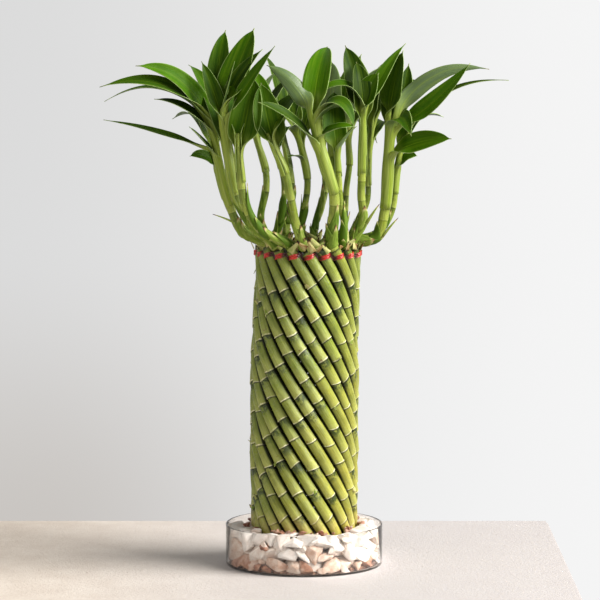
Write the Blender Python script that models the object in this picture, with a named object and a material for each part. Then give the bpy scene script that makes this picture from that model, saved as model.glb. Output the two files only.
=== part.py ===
"""Lucky bamboo tower: a ring of twisted canes, tied at the top, standing in gravel in a glass dish.

Metres, +Z up. The origin is the centre of the dish's underside, where the plant stands.
"""

import math
import random

import bmesh
import bpy
from mathutils import Matrix, Vector

MM = 0.001
GAP = 0.35 * MM  # air left between two pieces that touch

# Glass dish
DISH_RADIUS = 58 * MM
DISH_HEIGHT = 30 * MM
DISH_WALL = 1.8 * MM
DISH_FLOOR = 2.2 * MM
DISH_LIP = 0.5 * MM
DISH_SIDES = 40

# Gravel
GRAVEL_FLOOR = 2.0 * MM  # gravel under the canes
GRAVEL_AT_WALL = 26.5 * MM
GRAVEL_AT_CANES = 29 * MM
GRAVEL_CENTRE = 27.5 * MM
TRENCH_GAP = 0.9 * MM  # between a cane and the gravel either side of it
FOOT_BEVEL = 1.4 * MM  # round the bottom corners of the dish and its gravel

# Canes
CANE_COUNT = 20
CANE_SIDES = 6
CANE_TOP = 235.5 * MM
RING_RADIUS = 34.5 * MM  # canes' centrelines, at the gravel and at the tie
RING_BULGE = 1.2 * MM
BULGE_FULL = 80 * MM  # the bulge grows up to here, and shrinks from BULGE_ENDS over BULGE_FADE
BULGE_ENDS = 120 * MM
BULGE_FADE = 110 * MM
TWIST = math.radians(989)  # per metre of height; the canes wind clockwise going up
FIRST_CANE = math.radians(-93)  # azimuth of cane 1's cut end, from +X; the rest follow anticlockwise
LEAN_AT_TOP = 3 * MM  # the tower's axis moves this far to +X, from LEAN_START over LEAN_SPAN
LEAN_START = 150 * MM
LEAN_SPAN = 80 * MM
WANDER = 0.4 * MM  # in and out of each cane as it climbs
WANDER_LENGTH = 30 * MM
INTERNODE = 18 * MM
INTERNODE_SPREAD = 6 * MM
LAST_INTERNODE = 31 * MM  # the most that a cane's last node is below the tie
NODE_STEP = 0.7 * MM
CANE_CUT = 2.7 * MM  # the centre of a cane's cut foot, over its lowest edge
LONGEST_SPAN = 14 * MM  # between the rings of vertices that a cane is drawn with
NODE_WAIST = 0.93  # a cane under a node, as a share of its radius over it

# Tie wire
TIE_HEIGHT = 231 * MM
TIE_RADIUS = 0.9 * MM
TIE_DIP = 1.1 * MM
TIE_POINTS_PER_CANE = 3
TIE_SIDES = 4

# Shoots and leaves
SHOOT_SIDES = 6
STEM_RINGS = [0, 0.6, 1.1, 1.6, 2.1, 2.7, 3.3, 4]  # where a bare stem's rings of vertices are
SHOOT_ROOT = 5 * MM  # the straight start of a shoot
STEM_SPANS = 4  # a shoot's control points run 0 to 4 along its bare stem, and 4 to 5 up its leaf bases
SHOOT_FOOT = 1.18  # a shoot's radius where it leaves its cane, as a share of its radius
CROWN_RINGS = 4
CROWN_FOOT = 0.92  # the rolled leaf bases' radius where they start, as a share of the stem's
CROWN_TIP_RADIUS = 1.5 * MM
LEAF_THICKNESS = 0.9 * MM
LEAF_SPACING = 0.04  # between two leaves that start at the same place, along the rolled bases
LEAF_STATIONS = 6
LEAF_CHANNEL = 0.22  # how deep a blade is folded along its middle, as a share of its half width

# Each shoot: the cane it grows from, its stem's radius, the points that its stem passes through,
# and its leaves, in millimetres. From the third point to the fourth it is rolled leaf bases.
# A leaf: its place along the rolled bases (0 to 1), its tip, how far it arches above a straight
# line, its width, and how far it rolls about its midrib, in degrees.
SHOOTS = [
    (
        20, 2.7, [(-30, -41, 250), (-42, -44, 268), (-46, -46, 294), (-48, -46, 322)],
        [(1, (-36, -26, 361), 0, 20, 0), (0.9, (-56, 12, 350), 8, 14, 0)],
    ),
    (
        19, 3.2, [(-36, -33, 252), (-47.5, -35, 272), (-52, -35, 291), (-60, -33, 338)],
        [
            (1, (-57, -12, 396), 2, 14, 0), (1, (-36, -24, 396), 3, 17, 30),
            (1, (-50, -42, 373), 0, 7, 0), (1, (-30, -34, 381), 4, 9, 30),
            (1, (-29, -68, 386), -4, 7, 20), (1, (-75, -30, 373), 3, 10, -20),
            (0.6, (-85, 18, 372), 10, 15, 0),
        ],
    ),
    (
        18, 2.7, [(-45, -25, 248), (-54, -26, 268), (-60, -25, 291), (-66, -24, 330)],
        [
            (1, (-121, -28, 374), 2, 13, -35), (1, (-147, -40, 355), 16, 14, -25),
            (0.9, (-145, -18, 346), 17, 10, 10), (0.75, (-108, -34, 347), 5, 12, 20),
            (0.45, (-83, -32, 326), 0, 8, 0),
        ],
    ),
    (
        17, 2.6, [(-42, -12, 247), (-54, -11, 264), (-61, -10, 286), (-66, -8, 308)],
        [
            (1, (-146, -12, 331), 0, 8, 10), (0.3, (-83, -18, 303), 3, 11, 0),
            (0.8, (-98, 38, 330), 14, 15, 0), (1, (-82, 26, 356), 8, 15, 0),
        ],
    ),
    (
        15, 2.4, [(-32, 10, 256), (-28, 12, 276), (-29, 15, 294), (-37, 17, 318)],
        [
            (1, (-60, 40, 360), 12, 16, 0), (0.7, (-68, 62, 330), 16, 16, 0),
            (1, (-20, 10, 366), 4, 16, 0),
        ],
    ),
    (
        14, 2.3, [(-18, 22, 252), (-14.5, 23, 276), (-18, 25, 296), (-26, 28, 318)],
        [(1, (-46, 62, 352), 12, 17, 0), (0.7, (-34, 88, 322), 18, 17, 0), (1, (-8, 34, 360), 6, 16, 0)],
    ),
    (
        13, 2.4, [(-12, 32, 254), (-9, 36, 276), (-12, 41, 298), (-17, 46, 322)],
        [(1, (-29, 52, 376), 4, 16, 0), (0.6, (-67, 78, 314), 18, 16, 0)],
    ),
    (
        12, 2.4, [(-1.5, 34, 252), (2.5, 36, 276), (1, 38, 294), (-5, 41, 316)],
        [
            (0.1, (-12, 28, 300), 2, 6, 0), (1, (-18, 22, 306), 12, 10, 0),
            (1, (-22, 104, 344), 14, 17, 0), (0.8, (14, 90, 352), 10, 17, 0),
        ],
    ),
    (
        11, 2.4, [(9, 38, 250), (15.5, 42, 272), (15, 46, 294), (11, 50, 318)],
        [(1, (24, 108, 340), 14, 18, 0), (0.6, (48, 92, 322), 16, 17, 0)],
    ),
    (
        10, 2.4, [(22, 33, 254), (24.5, 34, 276), (21, 37, 298), (18, 41, 322)],
        [(1, (42, 76, 362), 8, 18, 0), (1, (20, 16, 374), 2, 16, 0), (0.6, (56, 97, 308), 16, 17, 0)],
    ),
    (
        9, 2.2, [(30, 28, 252), (31.5, 29, 276), (33.8, 30, 296), (32, 32, 318)],
        [(1, (43, 57, 376), 6, 17, 0), (0.8, (80, 74, 342), 16, 17, 0), (1, (56, 22, 368), 4, 16, 0)],
    ),
    (
        8, 2.1, [(40, 16, 253), (47, 15, 270), (47, 16, 296), (50, 18, 322)],
        [(1, (98, 52, 354), 14, 17, 0), (1, (66, 34, 374), 6, 15, 0), (0.5, (72, 60, 316), 14, 15, 0)],
    ),
    (
        7, 2.2, [(55, 8, 246), (65, 9, 262), (68, 11, 288), (71, 13, 306)],
        [
            (0.2, (83, 6, 302), 2, 9, 20), (1, (150, 6, 358), 14, 9, 0),
            (0.9, (104, 40, 330), 12, 15, 0),
        ],
    ),
    (
        6, 3.4, [(53, -4, 243), (59, -5, 262), (61.5, -6, 292), (62, -6, 328)],
        [
            (0.4, (107, -14, 316), 9, 12, 35), (1, (72, -6, 379), 5, 12, 20),
            (1, (65, 10, 367), 0, 11, 0), (1, (77, 14, 369), 0, 10, 0),
            (1, (135, -4, 369), 14, 13, 20), (1, (120, -24, 373), 1, 14, 40),
            (0.9, (77, -38, 318), 12, 11, 0),
        ],
    ),
    (
        5, 2.8, [(42.5, -17, 256), (41.5, -19, 276), (42.5, -20, 302), (42.5, -20, 334)],
        [
            (1, (52, -18, 362), 4, 13, 0), (1, (74, -6, 384), 6, 7, 20),
            (1, (29, -6, 384), 0, 18, 0), (1, (40, -40, 347), 20, 13, 0),
        ],
    ),
    (
        4, 2.4, [(29, -26, 254), (26, -27, 272), (25, -28, 288), (24, -28, 306)],
        [(1, (38, -36, 326), 1, 9, 20), (1, (22, -6, 352), 2, 16, 0)],
    ),
    (
        3, 3.6, [(20.5, -35, 253), (21.5, -39, 276), (14, -42, 300), (5, -43, 336)],
        [
            (0.3, (-33, -58, 346), 3, 13, -35), (0.9, (-27, -34, 371), 5, 12, 50),
            (1, (12, -26, 383), 0, 19, 0), (1, (38, -58, 350), 13, 13, 20),
            (0.85, (37, -52, 337), 8, 11, 0), (0.7, (36, -46, 327), 3, 10, 25),
        ],
    ),
    (
        1, 2.7, [(-6, -38, 256), (-10, -41, 276), (-15, -43, 296), (-27, -44, 322)],
        [(1, (-26, -32, 356), 0, 17, 0), (0.8, (-32, -8, 364), 2, 17, 0), (0.9, (-2, -22, 352), 4, 15, 0)],
    ),
]


def clear_scene():
    for obj in list(bpy.data.objects):
        bpy.data.objects.remove(obj, do_unlink=True)


def material(name, colour, roughness, alpha=1.0):
    made = bpy.data.materials.new(name)
    made.use_nodes = True
    shader = made.node_tree.nodes["Principled BSDF"]
    shader.inputs["Base Color"].default_value = (*colour, 1.0)
    shader.inputs["Roughness"].default_value = roughness
    shader.inputs["Metallic"].default_value = 0.0
    shader.inputs["Alpha"].default_value = alpha
    return made


def finish_object(mesh, name, finish):
    """Closes a bmesh's life: normals out, smooth shading with sharp creases, one material."""
    bmesh.ops.triangulate(mesh, faces=mesh.faces)
    bmesh.ops.recalc_face_normals(mesh, faces=mesh.faces)
    data = bpy.data.meshes.new(name)
    mesh.to_mesh(data)
    mesh.free()
    data.shade_smooth()
    data.set_sharp_from_angle(angle=math.radians(35))
    data.materials.append(finish)
    obj = bpy.data.objects.new(name, data)
    bpy.context.scene.collection.objects.link(obj)
    return obj


def smooth_step(share):
    share = min(max(share, 0.0), 1.0)
    return share * share * (3 - 2 * share)


def add_tube(mesh, points, radii, sides, hint, closed=False, start=None):
    """Rings of vertices round a line of points, bridged into a tube. hint(point) is a direction
    that the first vertex of each ring faces, which keeps the tube from twisting. start is the
    direction in which the tube starts, where that isn't simply towards its second point."""
    rings = []
    count = len(points)
    for i, point in enumerate(points):
        before = points[i - 1] if i or closed else point
        after = points[(i + 1) % count] if i + 1 < count or closed else point
        along = start if start and not i else (after - before).normalized()
        side = hint(point)
        side = (side - along * side.dot(along)).normalized()
        other = along.cross(side)
        ring = []
        for k in range(sides):
            angle = math.tau * k / sides
            offset = side * math.cos(angle) + other * math.sin(angle)
            ring.append(mesh.verts.new(point + offset * radii[i]))
        rings.append(ring)
    for i in range(count if closed else count - 1):
        first, second = rings[i], rings[(i + 1) % count]
        for k in range(sides):
            nearby = (k + 1) % sides
            mesh.faces.new((first[k], first[nearby], second[nearby], second[k]))
    if not closed:
        mesh.faces.new(rings[0][::-1])
        mesh.faces.new(rings[-1])


def add_turned(mesh, profile, sides):
    """A closed profile of (radius, height), turned round the Z axis. A radius of 0 is one vertex."""
    rings = []
    for radius, height in profile:
        if radius == 0:
            rings.append([mesh.verts.new((0, 0, height))] * sides)
            continue
        turns = [math.tau * k / sides for k in range(sides)]
        rings.append(
            [mesh.verts.new((radius * math.cos(t), radius * math.sin(t), height)) for t in turns]
        )
    for first, second in zip(rings, rings[1:]):
        for k in range(sides):
            nearby = (k + 1) % sides
            corners = (first[k], first[nearby], second[nearby], second[k])
            corners = list(dict.fromkeys(corners))
            if len(corners) > 2:
                mesh.faces.new(corners)


# Where the canes run


def ring_radius(height):
    """Radius of the canes' centrelines, a slight barrel."""
    grown = smooth_step(height / BULGE_FULL)
    faded = smooth_step((height - BULGE_ENDS) / BULGE_FADE)
    return RING_RADIUS + RING_BULGE * (grown - faded)


def cane_point(cane, height):
    azimuth = FIRST_CANE + math.tau * (cane - 1) / CANE_COUNT + TWIST * (CANE_TOP - height)
    wander = WANDER * math.sin(2.4 * cane + height / WANDER_LENGTH)
    radius = ring_radius(height) + wander
    lean = LEAN_AT_TOP * smooth_step((height - LEAN_START) / LEAN_SPAN)
    return Vector((lean + radius * math.cos(azimuth), radius * math.sin(azimuth), height))


def cane_direction(cane, height):
    return (cane_point(cane, height + MM) - cane_point(cane, height - MM)).normalized()


def cane_radius(height):
    """The widest that a cane can be and still clear its neighbours."""
    slope = math.atan(TWIST * ring_radius(height))
    spacing = 2 * ring_radius(height) * math.sin(math.pi / CANE_COUNT) * math.cos(slope)
    return (spacing - GAP) / 2


def node_heights(cane):
    """Where a cane's nodes are, from the gravel up, at the uneven distances of a grown stem."""
    dice = random.Random(cane)
    bottom = GRAVEL_AT_CANES + dice.uniform(2 * MM, INTERNODE)
    heights = [bottom]
    while heights[-1] < TIE_HEIGHT - LAST_INTERNODE:
        heights.append(heights[-1] + INTERNODE + dice.uniform(-1, 1) * INTERNODE_SPREAD)
    return heights


def round_the_tower(point):
    """The direction from a cane to its neighbour."""
    return Vector((-point.y, point.x, 0))


def make_dish(finish):
    """A flat-bottomed dish with an upright wall and a rounded lip, as one turned profile."""
    inside = DISH_RADIUS - DISH_WALL
    foot = FOOT_BEVEL
    profile = [
        (0, 0),
        (DISH_RADIUS - foot, 0),
        (DISH_RADIUS, foot),
        (DISH_RADIUS, DISH_HEIGHT - DISH_LIP),
        (DISH_RADIUS - DISH_LIP, DISH_HEIGHT),
        (inside + DISH_LIP, DISH_HEIGHT),
        (inside, DISH_HEIGHT - DISH_LIP),
        (inside, DISH_FLOOR + foot),
        (inside - foot, DISH_FLOOR),
        (0, DISH_FLOOR),
    ]
    mesh = bmesh.new()
    add_turned(mesh, profile, DISH_SIDES)
    return finish_object(mesh, "glass_dish", finish)


def make_gravel(finish):
    """The bed of gravel, with the ring-shaped trench that the canes stand in."""
    outer = DISH_RADIUS - DISH_WALL - GAP
    bottom = DISH_FLOOR + GAP
    trench_floor = bottom + GRAVEL_FLOOR
    slack = cane_radius(DISH_HEIGHT) + TRENCH_GAP
    trench_out = ring_radius(DISH_HEIGHT) + slack
    trench_in = ring_radius(0) - slack
    foot = 1.2 * FOOT_BEVEL
    profile = [
        (0, bottom),
        (outer - foot, bottom),
        (outer, bottom + foot),
        (outer, GRAVEL_AT_WALL),
        (trench_out, GRAVEL_AT_CANES),
        (trench_out, trench_floor),
        (trench_in, trench_floor),
        (trench_in, GRAVEL_AT_CANES),
        (0, GRAVEL_CENTRE),
    ]
    mesh = bmesh.new()
    add_turned(mesh, profile, DISH_SIDES)
    return finish_object(mesh, "gravel_bed", finish)


def make_cane(cane, finish):
    """A cut cane: it narrows up each internode and steps out again at the next node."""
    below = DISH_FLOOR + GRAVEL_FLOOR + 2 * GAP + CANE_CUT
    stations = [(below, NODE_WAIST)]
    for height in node_heights(cane) + [CANE_TOP]:
        spans = math.ceil((height - below) / LONGEST_SPAN)
        for k in range(1, spans):
            share = k / spans
            stations.append((below + (height - below) * share, 1 + (NODE_WAIST - 1) * share))
        stations.append((height - NODE_STEP, NODE_WAIST))
        stations.append((height, 1.0 if height < CANE_TOP else NODE_WAIST))
        below = height
    points = [cane_point(cane, height) for height, _ in stations]
    radii = [cane_radius(height) * share for height, share in stations]
    mesh = bmesh.new()
    add_tube(mesh, points, radii, CANE_SIDES, round_the_tower)
    return finish_object(mesh, f"cane_{cane:02d}", finish)


def make_tie(finish):
    """The wire round the canes, which dips a little between each two."""
    count = CANE_COUNT * TIE_POINTS_PER_CANE
    centre = Vector((LEAN_AT_TOP, 0, TIE_HEIGHT))
    canes = [cane_point(cane, TIE_HEIGHT) for cane in range(1, CANE_COUNT + 1)]
    seat = ring_radius(TIE_HEIGHT) + WANDER + cane_radius(TIE_HEIGHT) * NODE_WAIST + GAP + TIE_RADIUS
    start = math.atan2(canes[0].y, canes[0].x - LEAN_AT_TOP)
    points = []
    for k in range(count):
        share = k / TIE_POINTS_PER_CANE
        angle = start + math.tau * share / CANE_COUNT
        dip = TIE_DIP * (1 - math.cos(math.tau * share)) / 2
        across = Vector((math.cos(angle), math.sin(angle), 0))
        points.append(centre + across * (seat - dip))
    mesh = bmesh.new()
    add_tube(mesh, points, [TIE_RADIUS] * count, TIE_SIDES, lambda _: Vector((0, 0, 1)), True)
    return finish_object(mesh, "tie_wire", finish)


# Shoots and their leaves


def spline_point(points, place):
    """A point on the smooth curve through the points (Catmull-Rom), which runs 0, 1, 2 and so on."""
    i = min(int(place), len(points) - 2)
    t = place - i
    b, c = points[i], points[i + 1]
    a = points[i - 1] if i else b * 2 - c
    d = points[i + 2] if i + 2 < len(points) else c * 2 - b
    return (
        b * 2 + (c - a) * t + (a * 2 - b * 5 + c * 4 - d) * t**2 + (b * 3 - a - c * 3 + d) * t**3
    ) / 2


def shoot_path(cane, through):
    """The points that a shoot passes through: it leaves its cane's cut end in line with the cane."""
    end, along = cane_point(cane, CANE_TOP), cane_direction(cane, CANE_TOP)
    return [end + along * GAP, end + along * SHOOT_ROOT] + [Vector(p) * MM for p in through]


def shoot_curve(cane, through, places):
    """Points on a shoot, at places counted in its control points from its cane's end."""
    path = shoot_path(cane, through)
    return [spline_point(path, place) for place in places]


def leaf_frame(root, tip, bow, roll, share):
    """Midrib point, side direction and face direction, at a share of a leaf's length."""
    up = Vector((0, 0, 1))
    chord = tip - root
    heading = Vector((chord.x, chord.y, 0)).normalized()
    over = up.cross(heading).cross(-chord.normalized())
    bend = (root + tip) / 2 + over * 2 * bow
    point = root * (1 - share) ** 2 + bend * 2 * share * (1 - share) + tip * share**2
    along = ((bend - root) * (1 - share) + (tip - bend) * share).normalized()
    side = Matrix.Rotation(roll * smooth_step(share / 0.4), 3, along) @ up.cross(heading)
    return point, side, along.cross(side)


def leaf_outline(share):
    """Half width of a lance-shaped leaf, as a share of its widest."""
    if share < 0.12:
        return 0.24
    swell = math.sin(math.pi * ((share - 0.12) / 0.88) ** 0.75)
    return max(0.24 * (1 - share) ** 2 + 0.97 * swell**0.85, 0.03)


def leaf_mesh(root, leaf):
    """One blade: a thin channel, whose two faces meet at its edges."""
    _, tip, bow, width, roll = leaf
    mesh = bmesh.new()
    rings = []
    for k in range(LEAF_STATIONS + 1):
        share = k / LEAF_STATIONS
        point, side, face = leaf_frame(root, Vector(tip) * MM, bow * MM, math.radians(roll), share)
        half = width * MM / 2 * leaf_outline(share)
        lift = face * half * LEAF_CHANNEL
        thick = face * LEAF_THICKNESS / 2 * (1 - 0.6 * share)
        corners = (point - side * half + lift, point - thick, point + side * half + lift, point + thick)
        rings.append([mesh.verts.new(corner) for corner in corners])
    for first, second in zip(rings, rings[1:]):
        for c in range(4):
            d = (c + 1) % 4
            mesh.faces.new((first[c], first[d], second[d], second[c]))
    for ring in (rings[0], rings[-1][::-1]):
        left, under, right, over = ring
        mesh.faces.new((over, under, left))
        mesh.faces.new((over, right, under))
    return mesh


def stem_side(_):
    """A direction that no stem runs along, for its rings of vertices to face."""
    return Vector((1, 0.2, 0))


def make_stem(number, cane, radius, through, finish):
    """A shoot's bare stem, which starts square to its cane's cut end."""
    points = shoot_curve(cane, through, STEM_RINGS)
    radii = [radius * MM * (SHOOT_FOOT + (1 - SHOOT_FOOT) * min(k / 2, 1)) for k in STEM_RINGS]
    start = cane_direction(cane, CANE_TOP)
    mesh = bmesh.new()
    add_tube(mesh, points, radii, SHOOT_SIDES, stem_side, start=start)
    finish_object(mesh, f"shoot_{number:02d}", finish)


def make_leaves(number, cane, radius, through, leaves, finish):
    """The rolled leaf bases at the end of a stem, with each blade joined on as one solid."""
    shares = [k / (CROWN_RINGS - 1) for k in range(CROWN_RINGS)]
    points = shoot_curve(cane, through, [STEM_SPANS + share for share in shares])
    points[0] = points[0] + (points[1] - points[0]).normalized() * GAP
    foot = radius * MM * CROWN_FOOT
    radii = [foot + (CROWN_TIP_RADIUS - foot) * share for share in shares]
    mesh = bmesh.new()
    add_tube(mesh, points, radii, SHOOT_SIDES, stem_side)
    crown = finish_object(mesh, f"leaves_{number:02d}", finish)
    for order, leaf in enumerate(leaves):
        place = STEM_SPANS + max(min(leaf[0], 0.98) - LEAF_SPACING * order, 0.06)
        root = shoot_curve(cane, through, [place])[0]
        mesh = leaf_mesh(root, leaf)
        blade = finish_object(mesh, f"blade_{number:02d}_{order}", finish)
        blade.hide_render = True
        blade.display_type = "WIRE"
        join = crown.modifiers.new(blade.name, "BOOLEAN")
        join.operation = "UNION"
        join.object = blade


def main():
    clear_scene()
    glass = material("clear_glass", (0.92, 0.95, 0.94), 0.05, 0.3)
    stone = material("quartz_gravel", (0.86, 0.78, 0.72), 0.7)
    green_cane = material("green_cane", (0.36, 0.45, 0.10), 0.45)
    green_stem = material("green_stem", (0.38, 0.50, 0.12), 0.4)
    green_leaf = material("green_leaf", (0.10, 0.28, 0.04), 0.4)
    red_wire = material("red_wire", (0.60, 0.05, 0.04), 0.35)
    make_dish(glass)
    make_gravel(stone)
    for cane in range(1, CANE_COUNT + 1):
        make_cane(cane, green_cane)
    make_tie(red_wire)
    for number, (cane, radius, through, leaves) in enumerate(SHOOTS, 1):
        make_stem(number, cane, radius, through, green_stem)
        make_leaves(number, cane, radius, through, leaves, green_leaf)


main()
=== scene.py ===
"""Lucky bamboo tower: twenty canes twisted into a column and wired together at the top. They stand
in pale gravel in a low glass dish, and leafy shoots grow out of their cut ends."""

import random
from math import atan, atan2, ceil, cos, exp, pi, radians, sin, tau

import bmesh
import bpy
import numpy as np
from mathutils import Euler, Matrix, Vector


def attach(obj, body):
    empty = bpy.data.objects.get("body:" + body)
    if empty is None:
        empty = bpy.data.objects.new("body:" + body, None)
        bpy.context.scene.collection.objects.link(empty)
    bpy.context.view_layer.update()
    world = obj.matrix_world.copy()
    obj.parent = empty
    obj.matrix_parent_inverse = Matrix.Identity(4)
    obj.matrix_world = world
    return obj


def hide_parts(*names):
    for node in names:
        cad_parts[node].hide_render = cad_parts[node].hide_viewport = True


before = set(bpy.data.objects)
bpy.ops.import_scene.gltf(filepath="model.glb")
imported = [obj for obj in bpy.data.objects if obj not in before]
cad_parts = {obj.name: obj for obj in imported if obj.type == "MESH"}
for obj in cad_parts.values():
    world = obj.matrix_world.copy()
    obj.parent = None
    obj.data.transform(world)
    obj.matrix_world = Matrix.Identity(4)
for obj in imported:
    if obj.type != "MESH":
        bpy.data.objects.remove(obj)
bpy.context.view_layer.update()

MM = 0.001

# The dish.
# A low straight-sided dish of clear pressed glass, turned as one shape, with a fire-rounded rim.
# Its underside is ground flat, so it is matt there, and painted a mottled dark brown: painted shade, for
# the dark under the gravel at the dish's foot.

DISH_RADIUS = 58 * MM
DISH_HEIGHT = 30 * MM
DISH_WALL = 1.0 * MM
DISH_FLOOR = 1.3 * MM
DISH_FOOT = 1.0 * MM  # round the bottom corners
DISH_MIDDLE = 1.0 * MM  # the small disc that the turned faces leave open
DISH_SIDES = 128
GLASS_TINT = (0.985, 0.985, 0.975, 1.0)
FOOT_SHADOW = (0.3, 0.26, 0.22, 1.0)
WALL_SHADOW = (0.83, 0.82, 0.8, 1.0)
# the underside's painted shade, from dark to pale
DARK_BASE_SHADE = (0.09, 0.055, 0.038, 1.0)
PALE_BASE_SHADE = (0.38, 0.29, 0.23, 1.0)


def rounded(centre_radius, centre_height, radius, start, end, steps=6):
    """Points of a profile round a corner, from one angle to another, in degrees."""
    angles = [radians(start + (end - start) * k / steps) for k in range(steps + 1)]
    return [(centre_radius + radius * cos(a), centre_height + radius * sin(a)) for a in angles]


def turned(profile, sides):
    """Points and faces of a profile of (radius, height), turned round the Z axis."""
    turns = [tau * k / sides for k in range(sides)]
    points = [(r * cos(t), r * sin(t), h) for r, h in profile for t in turns]
    faces = []
    for i in range(len(profile) - 1):
        for k in range(sides):
            nearby = (k + 1) % sides
            first, second = i * sides, (i + 1) * sides
            faces.append((first + k, first + nearby, second + nearby, second + k))
    return points, faces


def set_up(name, data):
    """A new object in the scene, which holds this mesh, lamp or camera."""
    made = bpy.data.objects.new(name, data)
    bpy.context.scene.collection.objects.link(made)
    return made


def make_piece(name, points, faces, finishes, measures=None, grain=None, crease=40):
    """A smooth-shaded mesh object. measures are named values at its points, and grain is a place in
    metres at each face corner, (across, along) the way it grew, both for its finish to read."""
    data = bpy.data.meshes.new(name)
    data.from_pydata([tuple(p) for p in points], [], faces)
    for key, values in (measures or {}).items():
        data.attributes.new(key, "FLOAT", "POINT").data.foreach_set("value", np.float32(values))
    if grain is not None:
        data.uv_layers.new(name="grain").uv.foreach_set("vector", np.float32(grain).ravel())
    data.shade_smooth()
    data.set_sharp_from_angle(angle=radians(crease))
    for finish in finishes:
        data.materials.append(finish)
    return set_up(name, data)


def join(value, socket):
    """Gives a socket a value, or joins it to another node's output."""
    if isinstance(value, bpy.types.NodeSocket):
        socket.id_data.links.new(value, socket)
    else:
        socket.default_value = value


def add(tree, kind, settings=None, **sockets):
    """A new shader node. Sockets are named with _ for a space."""
    made = tree.nodes.new("ShaderNode" + kind)
    for key, value in (settings or {}).items():
        setattr(made, key, value)
    for key, value in sockets.items():
        join(value, made.inputs[key.replace("_", " ")])
    return made


def new_finish(name, **sockets):
    """A material with one Principled shader, whose sockets start as given."""
    finish = bpy.data.materials.new(name)
    finish.use_nodes = True
    shader = finish.node_tree.nodes["Principled BSDF"]
    for key, value in sockets.items():
        shader.inputs[key.replace("_", " ")].default_value = value
    return finish, finish.node_tree, shader


def placed(tree, axis):
    """Where each point of the surface is along X, Y or Z, in metres."""
    place = add(tree, "NewGeometry").outputs["Position"]
    return add(tree, "SeparateXYZ", Vector=place).outputs[axis]


def noise(tree, size, detail, roughen=0.5):
    """Soft random patches, this big in metres."""
    place = add(tree, "NewGeometry").outputs["Position"]
    settings = {"Vector": place, "Scale": 1 / size, "Detail": detail, "Roughness": roughen}
    return add(tree, "TexNoise", **settings).outputs["Fac"]


def mixed(share, first, second):
    """The colour that two colours mix to. It joins the tree that the share is in."""
    made = add(share.id_data, "Mix", {"data_type": "RGBA"})
    for index, value in ((0, share), (6, first), (7, second)):
        join(value, made.inputs[index])
    return made.outputs[2]


def ramp(share, stops):
    """A colour looked up between stops of (place, colour)."""
    made = add(share.id_data, "ValToRGB", Fac=share)
    scale = made.color_ramp.elements
    while len(scale) < len(stops):
        scale.new(0.5)
    for stop, (place, colour) in zip(scale, stops):
        stop.position = place
        stop.color = colour
    return made.outputs[0]


def either_shader(share, first, second):
    """Two shaders, mixed."""
    made = add(share.id_data, "MixShader", Fac=share)
    join(first.outputs[0], made.inputs[1])
    join(second.outputs[0], made.inputs[2])
    return made.outputs[0]


def let_light_through(tree, shader, clearness):
    """Glass that lamps shine through: its shadow is clear, as a thin wall's is."""
    clear = add(tree, "BsdfTransparent", Color=clearness)
    shadow = add(tree, "LightPath").outputs["Is Shadow Ray"]
    both = either_shader(shadow, shader, clear)
    join(both, tree.nodes["Material Output"].inputs["Surface"])


dish_glass, tree, shader = new_finish(
    "dish_glass", Base_Color=GLASS_TINT, Roughness=0.0, IOR=1.38, Transmission_Weight=1.0
)
wall = add(tree, "MapRange", Value=placed(tree, "Z"), From_Min=1 * MM, From_Max=3 * MM).outputs[0]
let_light_through(tree, shader, mixed(wall, FOOT_SHADOW, WALL_SHADOW))

ground_base, tree, shader = new_finish("ground_base", Roughness=0.8)
# Painted shade: a mottled dark brown on the matt underside.
base_shade = ramp(noise(tree, 3 * MM, 3.0), [(0.35, DARK_BASE_SHADE), (0.7, PALE_BASE_SHADE)])
join(base_shade, shader.inputs["Base Color"])

lip = DISH_WALL / 2
inside = DISH_RADIUS - DISH_WALL
dish_profile = [
    (DISH_MIDDLE, 0),
    *rounded(DISH_RADIUS - DISH_FOOT, DISH_FOOT, DISH_FOOT, -90, 0),
    *rounded(DISH_RADIUS - lip, DISH_HEIGHT - lip, lip, 0, 180, 10),
    *rounded(inside - DISH_FOOT, DISH_FLOOR + DISH_FOOT, DISH_FOOT, 0, -90),
    (DISH_MIDDLE, DISH_FLOOR),
]
points, faces = turned(dish_profile, DISH_SIDES)
middle = range(DISH_SIDES)
faces.append(tuple(middle)[::-1])
faces.append(tuple(k + DISH_SIDES * (len(dish_profile) - 1) for k in middle))
dish = make_piece("turned_dish", points, faces, [dish_glass, ground_base])
for face in dish.data.polygons:
    face.material_index = int(face.center.z < 0.05 * MM)  # the underside
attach(dish, "root")
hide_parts("glass_dish")

# Where the canes run.
# Every cane follows the same clockwise helix, on a slightly barrelled tower that leans at the top.
# The gravel lies round them, so their curves come before it.

GAP = 0.35 * MM  # air between two pieces that touch
CANE_COUNT = 20
CANE_TOP = 235.5 * MM
RING_RADIUS = 34.5 * MM
RING_BULGE = 1.2 * MM
BULGE_FULL = 80 * MM
BULGE_ENDS = 120 * MM
BULGE_FADE = 110 * MM
TWIST = radians(989)  # per metre of height
FIRST_CANE = radians(-93)
LEAN_AT_TOP = 3 * MM
LEAN_START = 150 * MM
LEAN_SPAN = 80 * MM
WANDER = 0.4 * MM
WANDER_LENGTH = 30 * MM
WANDER_TURN = 2.4  # radians, from one cane to the next


def smooth_step(share):
    share = min(max(share, 0.0), 1.0)
    return share * share * (3 - 2 * share)


def ring_radius(height):
    grown = smooth_step(height / BULGE_FULL)
    faded = smooth_step((height - BULGE_ENDS) / BULGE_FADE)
    return RING_RADIUS + RING_BULGE * (grown - faded)


def cane_point(cane, height):
    azimuth = FIRST_CANE + tau * (cane - 1) / CANE_COUNT + TWIST * (CANE_TOP - height)
    wander = WANDER * sin(WANDER_TURN * cane + height / WANDER_LENGTH)
    radius = ring_radius(height) + wander
    lean = LEAN_AT_TOP * smooth_step((height - LEAN_START) / LEAN_SPAN)
    return Vector((lean + radius * cos(azimuth), radius * sin(azimuth), height))


def cane_direction(cane, height):
    return (cane_point(cane, height + MM) - cane_point(cane, height - MM)).normalized()


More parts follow.
